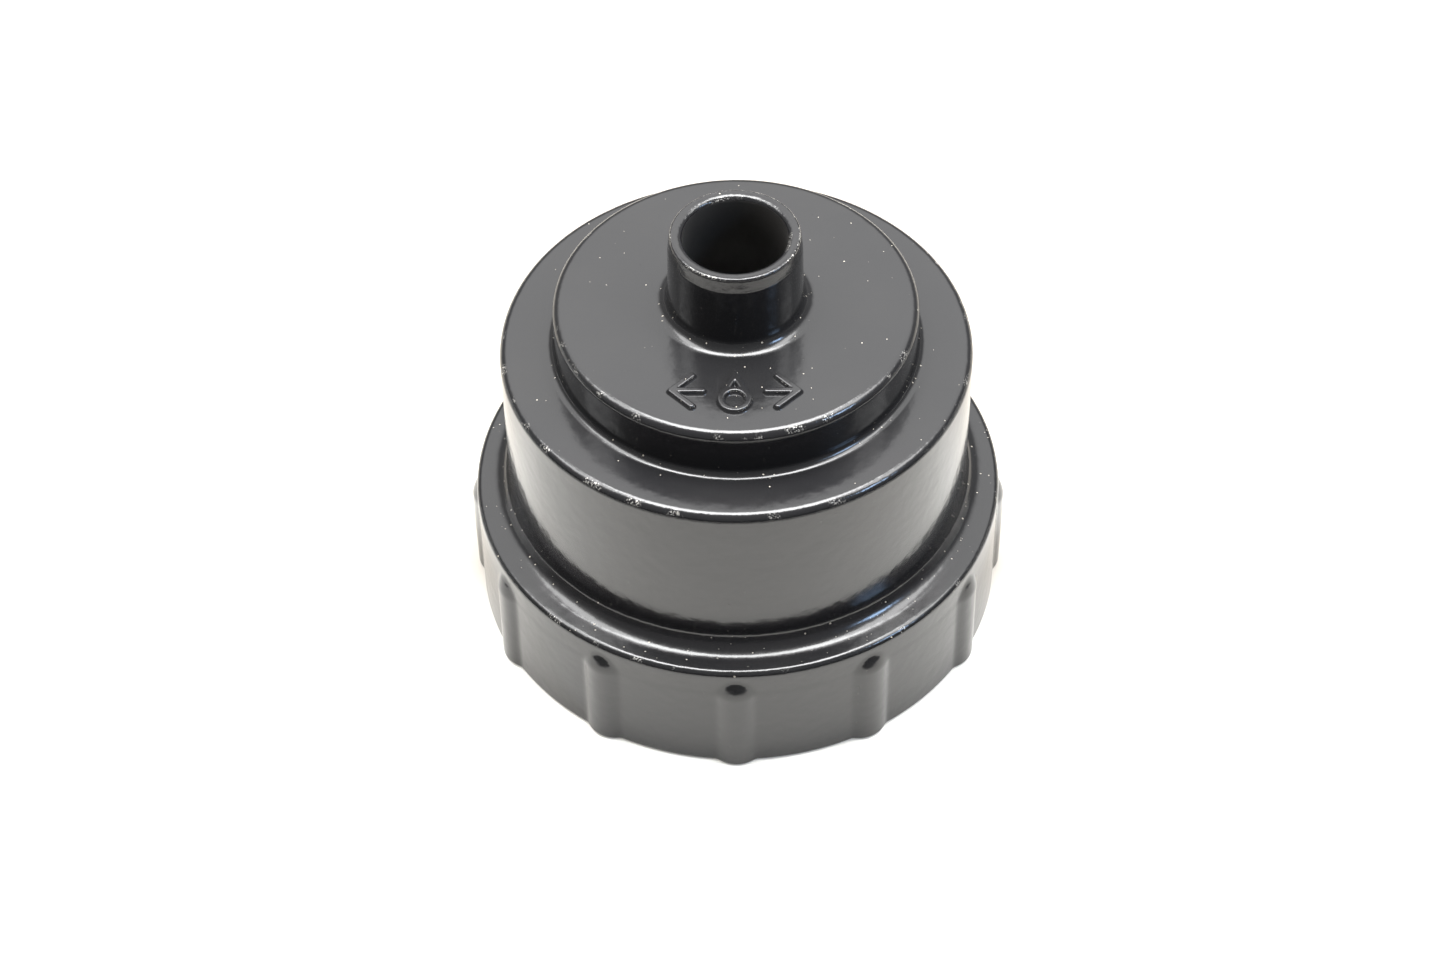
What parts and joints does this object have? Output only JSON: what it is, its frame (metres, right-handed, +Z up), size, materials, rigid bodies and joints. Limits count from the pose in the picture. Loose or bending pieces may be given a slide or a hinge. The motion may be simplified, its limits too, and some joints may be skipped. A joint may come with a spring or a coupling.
{
  "type": "oil filter wrench",
  "caption": "Stepped cup wrench with a fluted socket, outside ribs, a raised turning mark and a round hub bore that guides a drive bar into a steel square insert.",
  "frame": {"origin": "centre of the open rim's bottom plane, on the socket's axis", "axes": "+Z up through the hub; one outside rib and the raised mark face -Y; +X to the right of the mark"},
  "size_m": [0.0756, 0.0756, 0.065],
  "materials": {
    "black_coated_casting": "high gloss black over cast aluminium, thin at the edges",
    "plain_steel": "machined, lightly oiled"
  },
  "bodies": {
    "root": {"cup_casting": "black_coated_casting", "drive_insert": "plain_steel"}
  },
  "joints": []
}
